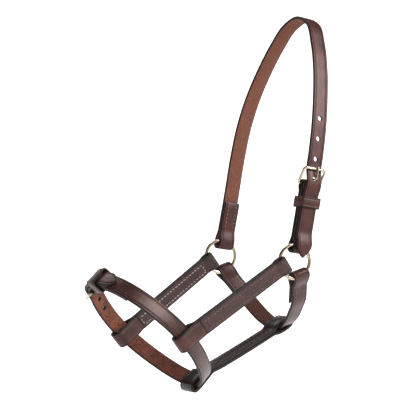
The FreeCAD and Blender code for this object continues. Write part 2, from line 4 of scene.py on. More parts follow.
import bmesh
import bpy
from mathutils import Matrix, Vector


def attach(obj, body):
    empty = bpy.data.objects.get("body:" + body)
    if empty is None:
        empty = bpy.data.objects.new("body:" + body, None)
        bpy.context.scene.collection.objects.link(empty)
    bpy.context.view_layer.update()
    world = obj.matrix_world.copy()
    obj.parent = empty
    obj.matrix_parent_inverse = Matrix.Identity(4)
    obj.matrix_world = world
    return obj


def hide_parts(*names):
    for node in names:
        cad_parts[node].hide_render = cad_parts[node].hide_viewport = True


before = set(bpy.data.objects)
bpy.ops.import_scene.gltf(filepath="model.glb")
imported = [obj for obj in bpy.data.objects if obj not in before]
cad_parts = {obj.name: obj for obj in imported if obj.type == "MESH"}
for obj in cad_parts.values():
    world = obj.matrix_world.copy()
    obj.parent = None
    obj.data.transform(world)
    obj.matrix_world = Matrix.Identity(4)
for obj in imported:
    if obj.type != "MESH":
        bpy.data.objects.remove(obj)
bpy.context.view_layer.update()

# A small leather headcollar hanging by its crown. Routes are in millimetres and meshes in metres.
# +Z is up, the nose points to -X and the near side is -Y, as in the CAD frame.

MM = 0.001
CM_PER_MM = 0.1
WIDTH = 19.0
HALF = WIDTH / 2
LEATHER = 3.2
CLEAR = 0.3
RING_RADIUS = 18.0
RING_WIRE = 1.9
BAR = 1.5
STEP = 1.25
CREASE = 2.9
CREASE_DEPTH = 0.24
UV_HALF = 0.95
SHARP = 40
GRAIN, FLESH, EDGE = 0, 1, 2
DARK, PALE, ROSE, BROWN = 0, 1, 2, 3
rng = random.Random(7)


# ---- frames ----

def tilted(degrees, turn=0):
    """A unit vector turned up from +X by degrees, then round the vertical to the near side by turn."""
    angle, swing = math.radians(degrees), math.radians(turn)
    return Vector((math.cos(angle) * math.cos(swing), -math.cos(angle) * math.sin(swing), math.sin(angle)))


class Frame:
    """A flat drawing plane: an origin and two unit axes."""

    def __init__(self, origin, along, side):
        self.origin = Vector(origin)
        self.along = Vector(along).normalized()
        side = Vector(side)
        self.side = (side - self.along * self.along.dot(side)).normalized()

    def at(self, x, y):
        return self.origin + self.along * x + self.side * y

    def line(self, points, shift=None):
        lift = shift if shift is not None else Vector((0, 0, 0))
        return [self.at(x, y) + lift for x, y in points]


RING_BACK, RING_DROP = 64.0, 267.0
NEAR_SIDE, FAR_SIDE = 50.8, 64.8
LEAN = math.degrees(math.atan2(RING_BACK, RING_DROP))
CROWN_ACROSS = tilted(-9, 14)
CROWN_SHIFT = 1.8
CROWN = Frame(CROWN_ACROSS * CROWN_SHIFT, (0, 1, 0), tilted(90 - LEAN))
NEAR_RING = Vector((-RING_BACK, -NEAR_SIDE, -RING_DROP))
FAR_RING = Vector((-RING_BACK, FAR_SIDE, -RING_DROP))
RING_AXIS = -tilted(0, 18).cross(Vector((0, 0, -1)))
THROAT = Frame((NEAR_RING + FAR_RING) / 2, (0, 1, 0), tilted(-61))
THROAT_ACROSS = tilted(18, 18)
NOSE_TILT = 42.7
NOSE = Frame((-212, 11, -334.6), tilted(180 - NOSE_TILT), (0, 1, 0))
NOSE_ACROSS = (tilted(90 - NOSE_TILT) - NOSE.along * 0.2 + NOSE.side * 0.1).normalized()


# ---- routes ----

def hermite(start, end, out, into, u):
    return (start * (2 * u ** 3 - 3 * u ** 2 + 1) + out * (u ** 3 - 2 * u ** 2 + u)
            + end * (3 * u ** 2 - 2 * u ** 3) + into * (u ** 3 - u ** 2))


def smooth(points, steps=9):
    """A smooth curve through points, with slopes weighted to the nearer neighbour."""
    run = [Vector(p) for p in points]
    slopes = []
    for i, here in enumerate(run):
        before = here - run[i - 1] if i else run[1] - here
        after = run[i + 1] - here if i + 1 < len(run) else before
        weight = before.length / (before.length + after.length)
        slopes.append(before.normalized() * (1 - weight) + after.normalized() * weight)
    curve = [run[0]]
    for start, end, out, into in zip(run, run[1:], slopes, slopes[1:]):
        span = (end - start).length
        curve += [hermite(start, end, out * span, into * span, k / steps) for k in range(1, steps + 1)]
    return curve


def lengths(points):
    total = [0.0]
    for a, b in zip(points, points[1:]):
        total.append(total[-1] + (b - a).length)
    return total


def resample(points, step):
    """Evenly spaced points along a run, and the distance to each."""
    total = lengths(points)
    count = max(2, round(total[-1] / step))
    result, marks, k = [], [], 0
    for i in range(count + 1):
        goal = total[-1] * i / count
        while k < len(total) - 2 and total[k + 1] < goal:
            k += 1
        span = total[k + 1] - total[k]
        share = (goal - total[k]) / span if span else 0
        result.append(points[k].lerp(points[k + 1], min(max(share, 0), 1)))
        marks.append(goal)
    return result, marks


def tangents(points):
    last = len(points) - 1
    return [(points[min(i + 1, last)] - points[max(i - 1, 0)]).normalized() for i in range(len(points))]


# ---- meshes ----

def finish_mesh(name, bm, materials, sharp=SHARP):
    bmesh.ops.remove_doubles(bm, verts=bm.verts, dist=1e-6)
    bmesh.ops.recalc_face_normals(bm, faces=bm.faces)
    limit = math.radians(sharp)
    for face in bm.faces:
        face.smooth = True
    for edge in bm.edges:
        if len(edge.link_faces) == 2:
            edge.smooth = edge.calc_face_angle(0) < limit
    mesh = bpy.data.meshes.new(name)
    bm.to_mesh(mesh)
    bm.free()
    for material in materials:
        mesh.materials.append(material)
    piece = bpy.data.objects.new(name, mesh)
    bpy.context.scene.collection.objects.link(piece)
    return piece


def section(half, thick):
    """A strap's outline as (across, up, surface): over the grain face and back under the flesh face.
    half and thick are half its width and half its thickness."""
    round_in = min(1.15, thick * 0.8)
    inset = min(CREASE, half * 0.4)
    top = []
    for place, dip in ((half - round_in, 0.0), (half - inset + 0.55, 0.0),
                       (half - inset + 0.2, CREASE_DEPTH * 0.6), (half - inset, CREASE_DEPTH),
                       (half - inset - 0.2, CREASE_DEPTH * 0.6), (half - inset - 0.6, 0.0),
                       (half * 0.45, -0.06), (0.0, -0.09)):
        top.append((place, thick - dip))
    top += [(-x, y) for x, y in top[-2::-1]]
    edge = []
    for k in range(1, 6):
        a = math.pi / 2 - math.pi * k / 6
        edge.append((half - round_in + round_in * math.cos(a), thick * math.sin(a)))
    under = [(-(half - round_in), -thick), (-half * 0.5, -thick), (0.0, -thick), (half * 0.5, -thick),
             (half - round_in, -thick)]
    left = [(-x, y) for x, y in edge]
    outline = [(x, y, GRAIN) for x, y in top] + [(x, y, EDGE) for x, y in left]
    outline += [(x, y, FLESH) for x, y in under] + [(x, y, EDGE) for x, y in edge[::-1]]
    return outline


def surface_of(a, b):
    """The surface that the strip between two outline points belongs to."""
    return EDGE if EDGE in (a[2], b[2]) else a[2]


def end_rounding(gap):
    """The share of a strap's thickness left at a distance from its end."""
    if gap > 0.9:
        return 1.0
    return 0.62 + 0.38 * math.sqrt(max(0.0, 1 - (1 - gap / 0.9) ** 2))


def strap(name, points, across, face, materials, half=HALF, thick=LEATHER / 2, tip=0.0, thins=(), step=STEP,
          smoothed=True):
    """A strap of leather swept along points. face points out of the grain side at the first point, tip
    is the length of a pointed end, and thins lists (distance, share of the thickness) stations."""
    route = smooth(points) if smoothed else [Vector(p) for p in points]
    spots, marks = resample(route, step)
    slopes = tangents(spots)
    across = Vector(across).normalized()
    sign = 1 if slopes[0].cross(across).dot(Vector(face)) > 0 else -1
    total = marks[-1]
    # One draw for each strap keeps the stitches' own draws in their order.
    rng.uniform(0, 6)
    bm = bmesh.new()
    uv = bm.loops.layers.uv.new("UVMap")
    rows, data = [], []
    for spot, slope, mark in zip(spots, slopes, marks):
        normal = slope.cross(across).normalized() * sign
        here = half
        if tip and total - mark < tip:
            here = half * max(0.03, math.sin(math.pi / 2 * max(total - mark, 0) / tip) ** 0.8)
        rounding = end_rounding(min(mark, total - mark))
        share = 1.0
        for (a, p), (b, q) in zip(thins, thins[1:]):
            if a <= mark <= b:
                share = p + (q - p) * (mark - a) / (b - a)
        outline = section(here, thick * share * rounding)
        rows.append([bm.verts.new((spot + across * x + normal * y) * MM) for x, y, _ in outline])
        data.append((mark, [(x / max(here, 0.5) * UV_HALF) for x, _, _ in outline], outline))
    count = len(rows[0])
    for i in range(len(rows) - 1):
        for j in range(count):
            k = (j + 1) % count
            face_verts = (rows[i][j], rows[i][k], rows[i + 1][k], rows[i + 1][j])
            quad = bm.faces.new(face_verts)
            quad.material_index = surface_of(data[i][2][j], data[i][2][k])
            for loop, (r, c) in zip(quad.loops, ((i, j), (i, k), (i + 1, k), (i + 1, j))):
                loop[uv].uv = (data[r][0] * CM_PER_MM, data[r][1][c])
    for row, mark in ((rows[0], 0.0), (rows[-1][::-1], total)):
        cap = bm.faces.new(row)
        cap.material_index = EDGE
        for loop in cap.loops:
            loop[uv].uv = (mark * CM_PER_MM, UV_HALF)
    return finish_mesh(name, bm, materials)


def carve(piece, cutters):
    """Cuts closed shapes out of a piece. Each cutter is a bmesh-building function."""
    bm = bmesh.new()
    for build in cutters:
        build(bm)
    for face in bm.faces:
        face.material_index = EDGE
    bmesh.ops.recalc_face_normals(bm, faces=bm.faces)
    mesh = bpy.data.meshes.new("cutter")
    bm.to_mesh(mesh)
    bm.free()
    for material in piece.data.materials:
        mesh.materials.append(material)
    tool = bpy.data.objects.new("cutter", mesh)
    bpy.context.scene.collection.objects.link(tool)
    modifier = piece.modifiers.new("carve", "BOOLEAN")
    modifier.operation = "DIFFERENCE"
    modifier.solver = "EXACT"
    modifier.object = tool
    bpy.context.view_layer.update()
    cut = bpy.data.meshes.new_from_object(piece.evaluated_get(bpy.context.evaluated_depsgraph_get()))
    piece.modifiers.remove(modifier)
    cut.name = piece.name
    piece.data = cut
    bpy.data.objects.remove(tool)
    work = bmesh.new()
    work.from_mesh(cut)
    for face in work.faces:
        face.smooth = True
    for edge in work.edges:
        if len(edge.link_faces) == 2:
            edge.smooth = edge.calc_face_angle(0) < math.radians(SHARP)
    work.to_mesh(cut)
    work.free()
    return piece


def drill(centre, direction, radius, depth=16.0, sides=28):
    """A cutter for a round hole."""
    def build(bm):
        axis = Vector(direction).normalized()
        side = axis.orthogonal().normalized()
        up = axis.cross(side)
        rows = []
        for place in (-depth / 2, depth / 2):
            rows.append([bm.verts.new((Vector(centre) + axis * place
                                       + (side * math.cos(a) + up * math.sin(a)) * radius) * MM)
                         for a in [2 * math.pi * k / sides for k in range(sides)]])
        for j in range(sides):
            k = (j + 1) % sides
            bm.faces.new((rows[0][j], rows[0][k], rows[1][k], rows[1][j]))
        bm.faces.new(rows[0])
        bm.faces.new(rows[1])
    return build


def slab(corners, across, half):
    """A cutter in the shape of a flat outline, drawn out both ways."""
    def build(bm):
        rows = [[bm.verts.new((c + across * s) * MM) for c in corners] for s in (-half, half)]
        count = len(corners)
        for j in range(count):
            k = (j + 1) % count
            bm.faces.new((rows[0][j], rows[0][k], rows[1][k], rows[1][j]))
        bm.faces.new(rows[0])
        bm.faces.new(rows[1])
    return build


def tube(bm, points, radius, sides=14, closed=False, flatten=None):
    """Round wire along points. radius is a number or a function of the share along the run, and flatten
    is the axis of a flat loop."""
    count = len(points)
    last = count - 1
    up = None
    rows = []
    for i, point in enumerate(points):
        if closed:
            slope = (points[(i + 1) % count] - points[i - 1]).normalized()
        else:
            slope = (points[min(i + 1, last)] - points[max(i - 1, 0)]).normalized()
        if up is None:
            up = slope.orthogonal().normalized() if flatten is None else flatten.cross(slope).normalized()
        up = (up - slope * up.dot(slope)).normalized()
        side = slope.cross(up)
        size = radius(i / last) if callable(radius) else radius
        rows.append([bm.verts.new((point + (up * math.cos(a) + side * math.sin(a)) * size) * MM)
                     for a in [2 * math.pi * k / sides for k in range(sides)]])
    ends = rows + [rows[0]] if closed else rows
    for a, b in zip(ends, ends[1:]):
        for j in range(sides):
            k = (j + 1) % sides
            bm.faces.new((a[j], a[k], b[k], b[j]))
    if not closed:
        bm.faces.new(rows[0])
        bm.faces.new(rows[-1][::-1])


# ---- materials ----

class Nodes:
    """A short way to build a node tree."""

    def __init__(self, name):
        self.material = bpy.data.materials.new(name)
        self.material.use_nodes = True
        self.tree = self.material.node_tree
        self.shader = self.tree.nodes["Principled BSDF"]

    def add(self, kind, links=None, **values):
        node = self.tree.nodes.new(kind)
        for key, value in values.items():
            setattr(node, key, value)
        for socket, value in (links or {}).items():
            target = node.inputs[socket]
            if isinstance(value, bpy.types.NodeSocket):
                self.tree.links.new(value, target)
            else:
                target.default_value = value
        return node

    def math(self, operation, a, b=0.0):
        return self.add("ShaderNodeMath", {0: a, 1: b}, operation=operation).outputs[0]

    def range(self, value, low, high, to_low=0.0, to_high=1.0):
        return self.add("ShaderNodeMapRange", {0: value, 1: low, 2: high, 3: to_low, 4: to_high},
                        interpolation_type="SMOOTHSTEP").outputs[0]

    def mix(self, share, a, b, blend="MIX"):
        node = self.tree.nodes.new("ShaderNodeMix")
        node.data_type = "RGBA"
        node.blend_type = blend
        for socket, value in ((0, share), (6, a), (7, b)):
            if isinstance(value, bpy.types.NodeSocket):
                self.tree.links.new(value, node.inputs[socket])
            else:
                node.inputs[socket].default_value = value if socket == 0 else (*value, 1)
        return node.outputs[2]

    def noise(self, vector, scale, detail=4.0, rough=0.55):
        return self.add("ShaderNodeTexNoise", {"Vector": vector, "Scale": scale, "Detail": detail,
                                               "Roughness": rough}).outputs[0]

    def stretch(self, vector, x, y, z=1.0):
        return self.add("ShaderNodeMapping", {0: vector, 3: (x, y, z)}).outputs[0]

    def plug(self, **values):
        for name, value in values.items():
            target = self.shader.inputs[name.replace("_", " ")]
            if isinstance(value, bpy.types.NodeSocket):
                self.tree.links.new(value, target)
            else:
                target.default_value = value


def bump(nodes, height, strength, distance, below=None):
    links = {"Height": height, "Strength": strength, "Distance": distance}
    if below is not None:
        links["Normal"] = below
    return nodes.add("ShaderNodeBump", links).outputs[0]


def strap_place(nodes):
    """The distance along a strap in centimetres, and the distance from its middle."""
    uv = nodes.add("ShaderNodeUVMap", uv_map="UVMap").outputs[0]
    parts = nodes.add("ShaderNodeSeparateXYZ", {0: uv})
    return uv, nodes.math("ABSOLUTE", parts.outputs[1])


def between(nodes, place, start, end, soft):
    """1 between two distances along a strap in centimetres, and 0 outside, with soft ends."""
    rise = nodes.range(place, start - soft, start + soft)
    return nodes.math("MULTIPLY", rise, nodes.range(place, end - soft, end + soft, 1.0, 0.0))


def grain_leather(name, deep, warm, worn, rough, crinkle=0.0, gloss=0.42,
                  tint=(1.0, 0.80, 0.76, 1)):
    """Dyed, waxed grain side: pores, soft mottling, dark crease lines and burnished edges. Crinkle adds
    the fine puckers of leather that has been stitched through."""
    n = Nodes(name)
    uv, off = strap_place(n)
    broad = n.noise(uv, 0.55, 3.0)
    fine = n.noise(uv, 9.0, 5.0, 0.62)
    cells = {"Vector": uv, "Scale": 13.0, "Randomness": 0.9}
    pores = n.add("ShaderNodeTexVoronoi", cells, feature="F1").outputs[0]
    colour = n.mix(n.range(broad, 0.36, 0.66), deep, warm)
    colour = n.mix(n.math("MULTIPLY", n.range(fine, 0.5, 0.8), 0.45), colour, worn)
    line = n.range(n.math("ABSOLUTE", n.math("SUBTRACT", off, 0.66)), 0.012, 0.05, 1.0, 0.0)
    colour = n.mix(n.math("MULTIPLY", line, 0.8), colour, tuple(c * 0.25 for c in deep))
    burnt = n.range(off, 0.82, 0.95)
    colour = n.mix(n.math("MULTIPLY", burnt, 0.85), colour, (0.006, 0.004, 0.004))
    shine = n.math("ADD", n.range(fine, 0.3, 0.7, rough - 0.05, rough + 0.12), n.math("MULTIPLY", line, 0.1))
    n.plug(Roughness=shine)
    n.shader.inputs["Specular IOR Level"].default_value = gloss
    n.shader.inputs["Specular Tint"].default_value = tint
    soft = bump(n, n.noise(uv, 3.2, 3.0), 0.25, 0.0005)
    if crinkle:
        puckers = n.noise(n.stretch(uv, 6.5, 5.0), 1.0, 6.0, 0.72)
        inside = n.range(off, 0.50, 0.66, 1.0, 0.12)
        soft = bump(n, n.math("MULTIPLY", puckers, inside), crinkle, 0.0012, soft)
        pale = n.math("MULTIPLY", n.range(puckers, 0.52, 0.66), n.math("MULTIPLY", inside, 0.55))
        colour = n.mix(pale, colour, worn)
    n.plug(Base_Color=colour)
    pored = bump(n, n.range(pores, 0.0, 0.45), 0.30, 0.00018, soft)
    n.plug(Normal=bump(n, fine, 0.3, 0.00016, pored))
    return n.material


def flesh_leather(name, deep, warm, pale, crackle=0.0, darker_stretch=None):
    """The fibrous inner side, with the dye sunk in unevenly and darker edges. Crackle adds the cells of
    creased leather, and a (start, end) pair in centimetres along the strap makes that stretch darker."""
    n = Nodes(name)
    uv, off = strap_place(n)
    long_fibres = n.noise(n.stretch(uv, 2.5, 14.0), 1.0, 6.0, 0.65)
    short_fibres = n.noise(n.stretch(uv, 22.0, 30.0), 1.0, 5.0, 0.7)
    cloud = n.noise(uv, 0.8, 3.0)
    colour = n.mix(n.range(long_fibres, 0.35, 0.68), deep, warm)
    colour = n.mix(n.math("MULTIPLY", n.range(short_fibres, 0.48, 0.75), 0.45), colour, pale)
    colour = n.mix(n.math("MULTIPLY", n.range(cloud, 0.45, 0.75), 0.35), colour, deep)
    rough = bump(n, long_fibres, 0.35, 0.0004)
    if crackle:
        sway = n.add("ShaderNodeTexNoise", {"Vector": uv, "Scale": 3.0}).outputs[1]
        bent = n.add("ShaderNodeVectorMath", {0: uv, 1: sway}).outputs[0]
        cells = n.add("ShaderNodeTexVoronoi", {"Vector": bent, "Scale": 4.0}, feature="DISTANCE_TO_EDGE")
        ridge = n.range(cells.outputs[0], 0.03, 0.20)
        patchy = n.range(cloud, 0.35, 0.6, 0.35, 1.0)
        sunk = n.math("SUBTRACT", 1.0, ridge)
        colour = n.mix(n.math("MULTIPLY", sunk, n.math("MULTIPLY", patchy, crackle)), colour,
                       tuple(c * 0.3 for c in deep))
        rough = bump(n, ridge, 0.6, 0.0005, rough)
    # Darkens the colour over one stretch along the strap.
    if darker_stretch:
        shade = between(n, n.add("ShaderNodeSeparateXYZ", {0: uv}).outputs[0], *darker_stretch, 3.0)
        colour = n.mix(n.math("MULTIPLY", shade, 0.62), colour, tuple(c * 0.5 for c in deep))
    burnt = n.range(off, 0.80, 0.94)
    colour = n.mix(n.math("MULTIPLY", burnt, 0.9), colour, (0.012, 0.006, 0.005))
    n.plug(Base_Color=colour, Roughness=n.range(short_fibres, 0.3, 0.7, 0.62, 0.85))
    n.shader.inputs["Specular IOR Level"].default_value = 0.12
    n.shader.inputs["Sheen Weight"].default_value = 0.05
    n.shader.inputs["Sheen Roughness"].default_value = 0.5
    n.shader.inputs["Sheen Tint"].default_value = (0.9, 0.55, 0.42, 1)
    n.plug(Normal=bump(n, short_fibres, 0.5, 0.00025, rough))
    return n.material


def edge_leather(name):
    """Burnished black edges, with a trace of the fibres that run along them."""
    n = Nodes(name)
    uv, _ = strap_place(n)
    fibres = n.noise(n.stretch(uv, 3.0, 40.0), 1.0, 4.0)
    n.plug(Base_Color=n.mix(n.range(fibres, 0.4, 0.75), (0.007, 0.005, 0.005), (0.030, 0.018, 0.015)))
    n.plug(Roughness=n.range(fibres, 0.3, 0.7, 0.38, 0.55))
    n.shader.inputs["Specular IOR Level"].default_value = 0.22
    n.plug(Normal=bump(n, fibres, 0.4, 0.0002))
    return n.material


def thread_material(name, dark, light):
    """Waxed twisted thread."""
    n = Nodes(name)
    place = n.add("ShaderNodeTexCoord").outputs["Object"]
    twist = n.add("ShaderNodeTexWave", {"Vector": place, "Scale": 900.0, "Distortion": 1.5}).outputs[1]
    fuzz = n.noise(place, 700.0, 3.0)
    n.plug(Base_Color=n.mix(n.range(fuzz, 0.35, 0.7), dark, light))
    n.plug(Roughness=n.range(fuzz, 0.3, 0.7, 0.5, 0.75))
    n.plug(Normal=bump(n, twist, 0.5, 0.0001))
    n.shader.inputs["Sheen Weight"].default_value = 0.2
    return n.material


def brass_material(name, bright, dull):
    """Polished pale brass with faint brushing and a little tarnish."""
    n = Nodes(name)
    place = n.add("ShaderNodeTexCoord").outputs["Object"]
    cloud = n.noise(place, 90.0, 4.0)
    scratch = n.noise(n.stretch(place, 2600.0, 500.0, 500.0), 1.0, 3.0)
    n.plug(Base_Color=n.mix(n.range(cloud, 0.42, 0.72), bright, dull), Metallic=1.0)
    n.plug(Roughness=n.range(n.math("ADD", n.math("MULTIPLY", scratch, 0.5), n.math("MULTIPLY", cloud, 0.5)),
                             0.35, 0.65, 0.14, 0.28))
    n.plug(Normal=bump(n, scratch, 0.12, 0.00005))
    return n.material


HAVANA = grain_leather("havana_grain", (0.026, 0.0095, 0.0078), (0.054, 0.0150, 0.0113),
                       (0.090, 0.036, 0.030), 0.33)
# The crown's grain is the havana grain painted lighter: painted sheen.
CROWN_GRAIN_PAINTED_SHEEN = grain_leather("crown_grain_painted_sheen", (0.031, 0.0100, 0.0080), (0.064, 0.0175, 0.0135),
                            (0.100, 0.040, 0.032), 0.36)
# The noseband's grain is the havana grain painted darker: painted shade.
NOSE_GRAIN_PAINTED_SHADE = grain_leather("nose_grain_painted_shade", (0.022, 0.0080, 0.0066), (0.048, 0.0140, 0.0107),
                           (0.080, 0.034, 0.028), 0.31)
CRINKLED = grain_leather("crinkled_grain", (0.020, 0.0088, 0.0074), (0.040, 0.0150, 0.0120),
                         (0.13, 0.072, 0.062), 0.34, crinkle=1.0)
BLACK = grain_leather("black_grain", (0.006, 0.005, 0.005), (0.011, 0.0085, 0.0083),
                      (0.030, 0.025, 0.024), 0.24, gloss=0.55, tint=(1, 1, 1, 1))
FLESH_RED = flesh_leather("flesh_side", (0.115, 0.042, 0.027), (0.205, 0.083, 0.056), (0.33, 0.165, 0.12))
FLESH_NOSE = flesh_leather("creased_flesh", (0.135, 0.042, 0.026), (0.31, 0.115, 0.072), (0.50, 0.27, 0.20),
                           crackle=0.95, darker_stretch=(20.0, 37.0))
FLESH_BROWN = flesh_leather("dyed_flesh", (0.040, 0.015, 0.011), (0.072, 0.028, 0.020), (0.12, 0.058, 0.044))
FLESH_DARK = flesh_leather("dark_flesh", (0.018, 0.008, 0.006), (0.034, 0.014, 0.010), (0.07, 0.035, 0.026))
EDGE_BLACK = edge_leather("burnished_edge")
THREAD_DARK = thread_material("thread_dark", (0.060, 0.022, 0.019), (0.20, 0.095, 0.083))
THREAD_PALE = thread_material("thread_pale", (0.36, 0.32, 0.30), (0.62, 0.58, 0.55))
THREAD_ROSE = thread_material("thread_rose", (0.15, 0.085, 0.075), (0.34, 0.24, 0.22))
THREAD_BROWN = thread_material("thread_brown", (0.020, 0.009, 0.008), (0.060, 0.028, 0.024))
BRASS = brass_material("pale_brass", (0.60, 0.515, 0.395), (0.36, 0.295, 0.20))
CROWN_LEATHERS = (CROWN_GRAIN_PAINTED_SHEEN, FLESH_RED, EDGE_BLACK)
NOSE_LEATHERS = (NOSE_GRAIN_PAINTED_SHADE, FLESH_NOSE, EDGE_BLACK)
DOUBLED_LEATHERS = (CRINKLED, FLESH_DARK, EDGE_BLACK)
PLAIN_LEATHERS = (HAVANA, FLESH_DARK, EDGE_BLACK)
THROAT_LEATHERS = (HAVANA, FLESH_BROWN, EDGE_BLACK)
DARK_LEATHERS = (BLACK, FLESH_DARK, EDGE_BLACK)


# ---- stitches ----

STITCH_SHARE = 0.64


def stitches(name, rows):
    """Rows of single stitches. Each row is (points, normal function, pitch, material index)."""
    bm = bmesh.new()
    for points, normal_at, pitch, index in rows:
        total = lengths(points)[-1]
        count = max(1, int(total / pitch))
        spots, _ = resample(points, total / count / 2)
        for i in range(0, len(spots) - 1, 2):
            a = spots[i]
            b = spots[i + 1] if i + 2 > len(spots) - 1 else a.lerp(spots[i + 2], STITCH_SHARE)
            middle = (a + b) / 2
            normal = normal_at(middle)
            slope = (b - a).normalized()
            side = slope.cross(normal).normalized()
            slant = rng.uniform(0.10, 0.2)
            half = (b - a).length / 2
            run = []
            for k in range(7):
                u = k / 3 - 1
                rise = 0.34 - 0.75 * u * u + rng.uniform(-0.02, 0.02)
                run.append(middle + slope * (u * half) + side * (slant * half * u) + normal * rise)
            before = len(bm.faces)
            tube(bm, run, lambda s: 0.22 + 0.24 * math.sin(math.pi * s), sides=7)
            bm.faces.ensure_lookup_table()
            for face in bm.faces[before:]:
                face.material_index = index
    return finish_mesh(name, bm, (THREAD_DARK, THREAD_PALE, THREAD_ROSE, THREAD_BROWN), sharp=70)


ROW = 5.0
PITCH = 4.6
LAYER_GAP = 0.15
SEAM_LIFT = LEATHER + LAYER_GAP


def straight_rows(start, end, across, outer, outer_index, inner_index, ends=(False, False)):
    """Two rows along a doubled strap, on both of its faces, and a cross row at each end that is wanted."""
    start, end, outer = Vector(start), Vector(end), Vector(outer).normalized()
    rows = []
    for index, way in ((outer_index, outer), (inner_index, -outer)):
        for place in (-ROW, ROW):
            run = [start + across * place + way * SEAM_LIFT, end + across * place + way * SEAM_LIFT]
            rows.append((run, lambda p, way=way: way, PITCH, index))
        for here, wanted in ((start, ends[0]), (end, ends[1])):
            if wanted:
                run = [here - across * (ROW - 1) + way * SEAM_LIFT,
                       here + across * (ROW - 1) + way * SEAM_LIFT]
                rows.append((run, lambda p, way=way: way, PITCH * 0.8, index))
    return rows


# ---- shared sizes of the folds ----

EYE = RING_WIRE + 0.7
FOLD_RADIUS = EYE + LEATHER / 2
LAYER = LEATHER / 2 + LAYER_GAP
RING_LEVEL = -math.hypot(RING_BACK, RING_DROP)
EYE_TOP = RING_LEVEL + RING_RADIUS
BEND_GAP = 8.7
RING_BEND = BEND_GAP + EYE + LEATHER
RING_EYE_END = RING_RADIUS + 0.5
PIVOT_LEVEL = RING_LEVEL + 84.5
FRONT_LEVEL = PIVOT_LEVEL + 17
TONGUE_LEVEL = PIVOT_LEVEL + 5.6
TIP_LEVEL = RING_LEVEL + 4.6
far_y, near_y = FAR_SIDE, -NEAR_SIDE


def ring_turn(centre, turn, first, last):
    """A strap's path up one side of a ring's wire and down the other, as (side, level) points."""
    side = 1 if last[0] > centre else -1
    up = 1 if first[1] > turn else -1
    bend = [(centre - side * FOLD_RADIUS * math.cos(a), turn - up * FOLD_RADIUS * math.sin(a))
            for a in [math.pi * k / 6 for k in range(7)]]
    start = [first, (first[0], turn + up * 20), (first[0], turn + up * 16)]
    end = [(last[0], turn + up * 16), (last[0], turn + up * 20), last]
    return start + [(centre - side * FOLD_RADIUS, turn + up * 4)] + bend + [
        (centre + side * FOLD_RADIUS, turn + up * 4)] + end


def in_metal(piece, body, *nodes):
    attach(piece, body)
    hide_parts(*nodes)


def in_leather(piece, slot, *nodes):
    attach(piece, "straps")
    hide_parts(*nodes)


# ---- crown ----

HOLE_PITCH = 22.6
CROWN_HOLE = 2.8
UNDER_BAR = -54.6
OVER_CHAPE = near_y - 1.5 * LEATHER - 2 * CLEAR
OVER_FOLD = near_y - BAR - 1.5 * LEATHER - 3 * CLEAR
OVER_EYE = near_y - EYE - 1.5 * LEATHER - 2 * CLEAR
crown_path = ring_turn(far_y, EYE_TOP - 4, (far_y - LAYER, -212), (far_y + LAYER, -205)) + [
    (67.3, -158), (65.2, -121), (58.2, -87), (48.2, -59), (33.8, -29), (17.5, -6), (0, LEATHER / 2),
    (-16, -5.5), (-30, -31), (-40.3, -62), (-47.2, -95), (-51.8, -127), (-54, -158),
    (UNDER_BAR, FRONT_LEVEL), (OVER_FOLD, PIVOT_LEVEL + 3.5), (OVER_FOLD, PIVOT_LEVEL - 4),
    (OVER_CHAPE - CLEAR, PIVOT_LEVEL - 11), (OVER_CHAPE, PIVOT_LEVEL - 16), (OVER_CHAPE, PIVOT_LEVEL - 19),
    (OVER_CHAPE, EYE_TOP + 18), (OVER_CHAPE, EYE_TOP + 14), (OVER_EYE, EYE_TOP + 3), (OVER_EYE, TIP_LEVEL)]
crown = strap("crown_leather", CROWN.line(crown_path), CROWN_ACROSS, (0, -1, 0), CROWN_LEATHERS, tip=15,
              thins=((0, 0.7), (6, 1)))
crown_out = CROWN.side.cross(CROWN_ACROSS).normalized()
carve(crown, [drill(CROWN.at(side, TONGUE_LEVEL + i * HOLE_PITCH), crown_out, CROWN_HOLE)
              for i, side in enumerate((OVER_FOLD, -54.5, -53.6, -50.8))])
in_leather(crown, "havana_leather", "crown_strap")

crown_thread = stitches("crown_end_stitches", straight_rows(
    CROWN.at(far_y, RING_LEVEL + 33), CROWN.at(far_y, RING_LEVEL + 61), CROWN_ACROSS, (0, 1, 0),
    DARK, ROSE))
in_leather(crown_thread, "stitching", "crown_end_thread")

# ---- chape ----

CHAPE = Frame(CROWN.at(near_y, RING_LEVEL), CROWN.side, (0, -1, 0))
chape_top = PIVOT_LEVEL - RING_LEVEL
bar_round = BAR + CLEAR + LEATHER / 2


def around(centre, radius, start, end, count):
    """Points on an arc in a flat frame, from one angle to another in degrees."""
    turn = [math.radians(start + (end - start) * k / count) for k in range(count + 1)]
    return [(centre[0] + radius * math.cos(a), centre[1] + radius * math.sin(a)) for a in turn]


def ring_eye():
    """The path of a fold round a ring's wire, from the inner layer to the outer one."""
    return ([(RING_EYE_END + 11, -LAYER), (RING_EYE_END + 8, -LAYER), (RING_EYE_END - 1, -FOLD_RADIUS)]
            + around((RING_BEND, 0), FOLD_RADIUS, 270, 90, 6)
            + [(RING_EYE_END - 1, FOLD_RADIUS), (RING_EYE_END + 8, LAYER), (RING_EYE_END + 11, LAYER)])


